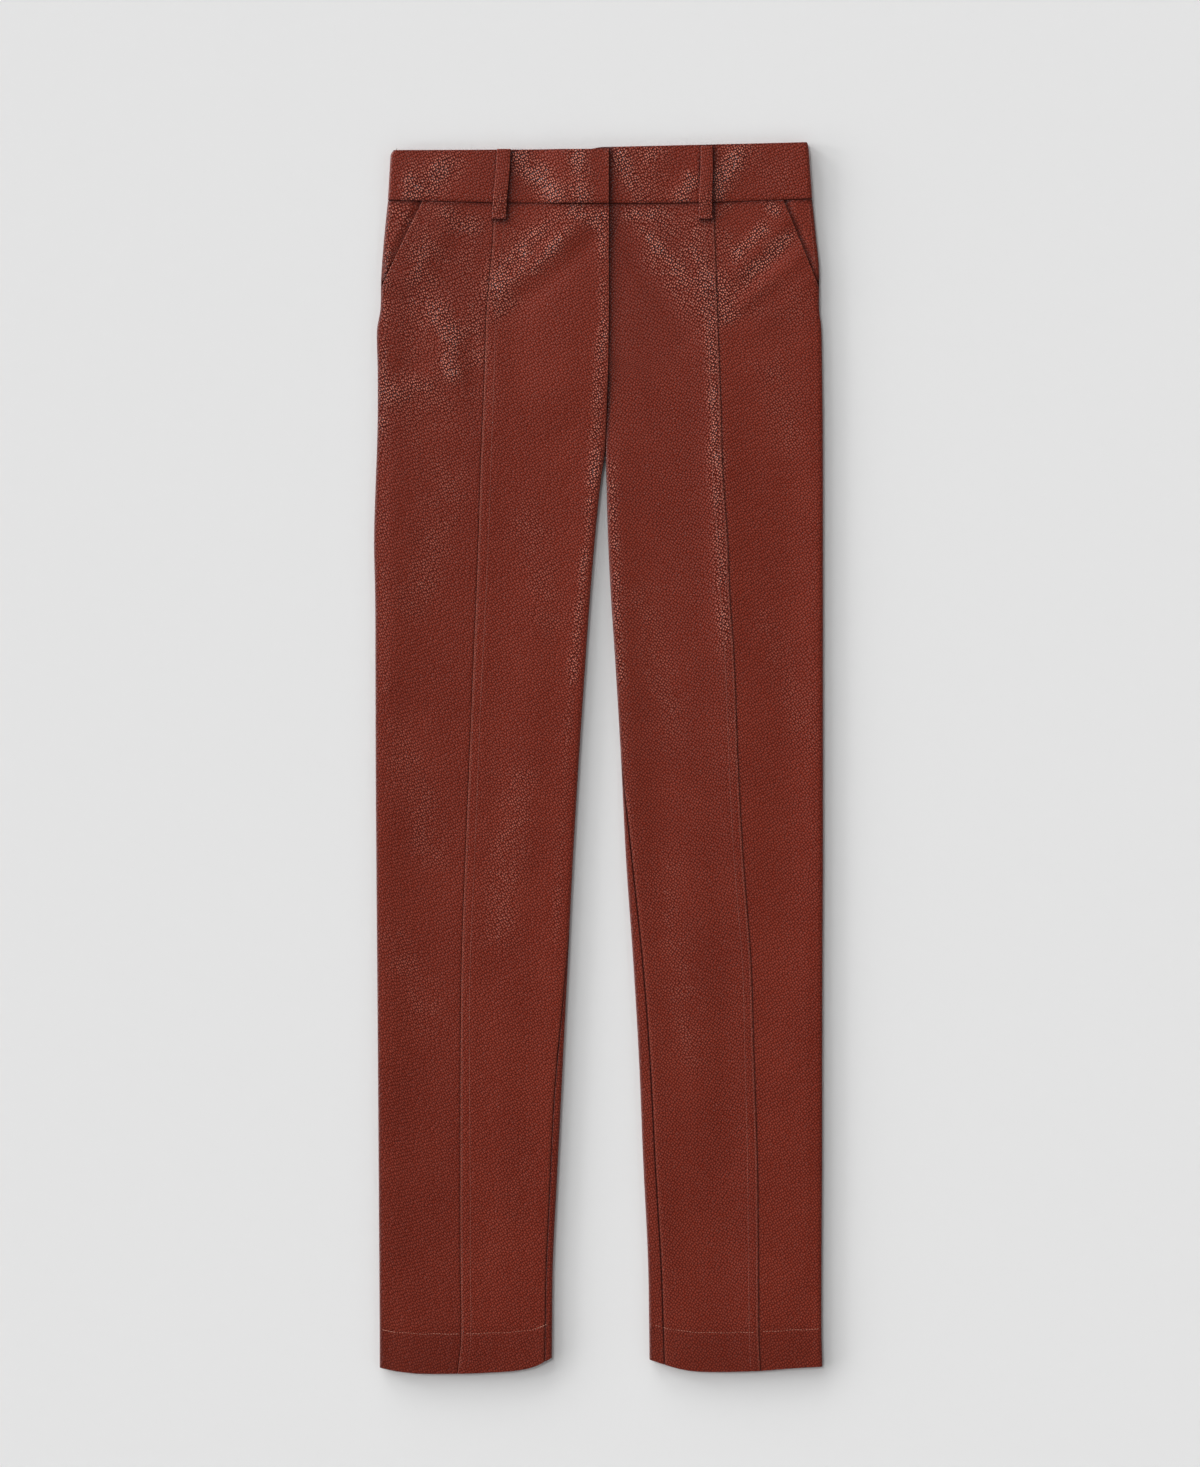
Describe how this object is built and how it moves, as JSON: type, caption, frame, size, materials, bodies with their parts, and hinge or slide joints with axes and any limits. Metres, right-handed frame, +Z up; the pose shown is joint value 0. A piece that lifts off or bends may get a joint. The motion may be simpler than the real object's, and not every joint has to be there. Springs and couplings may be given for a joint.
{
  "type": "faux leather trousers laid flat",
  "caption": "Slim high-rise faux leather trousers laid flat, front up, with slant pockets, a lapped fly, belt loops and a lapped seam down each leg's front.",
  "frame": {"origin": "middle of the garment's box, on the surface that it lies on", "axes": "+Z up from the surface, through the back to the front; +Y along the garment from the hems to the waistband; +X across it to the wearer's left"},
  "size_m": [0.3948, 1.0824, 0.0085],
  "materials": {
    "leather_front": "pebbled rust brown faux leather with a soft shine",
    "leather_back": "pebbled rust brown faux leather with a soft shine",
    "leather_band": "pebbled rust brown faux leather, folded double",
    "leather_loop": "rust brown faux leather strip, folded",
    "leather_facing": "pebbled rust brown faux leather inside the pocket mouth"
  },
  "bodies": {
    "root": {"side_front_right": "leather_front", "side_front_left": "leather_front", "centre_front_right": "leather_front", "centre_front_left": "leather_front", "back_right": "leather_back", "back_left": "leather_back", "pocket_facing_right": "leather_facing", "pocket_facing_left": "leather_facing", "waistband_right": "leather_band", "waistband_left": "leather_band", "belt_loop_front_right": "leather_loop", "belt_loop_front_left": "leather_loop", "belt_loop_back_right": "leather_loop", "belt_loop_centre_back": "leather_loop", "belt_loop_back_left": "leather_loop"}
  },
  "joints": []
}
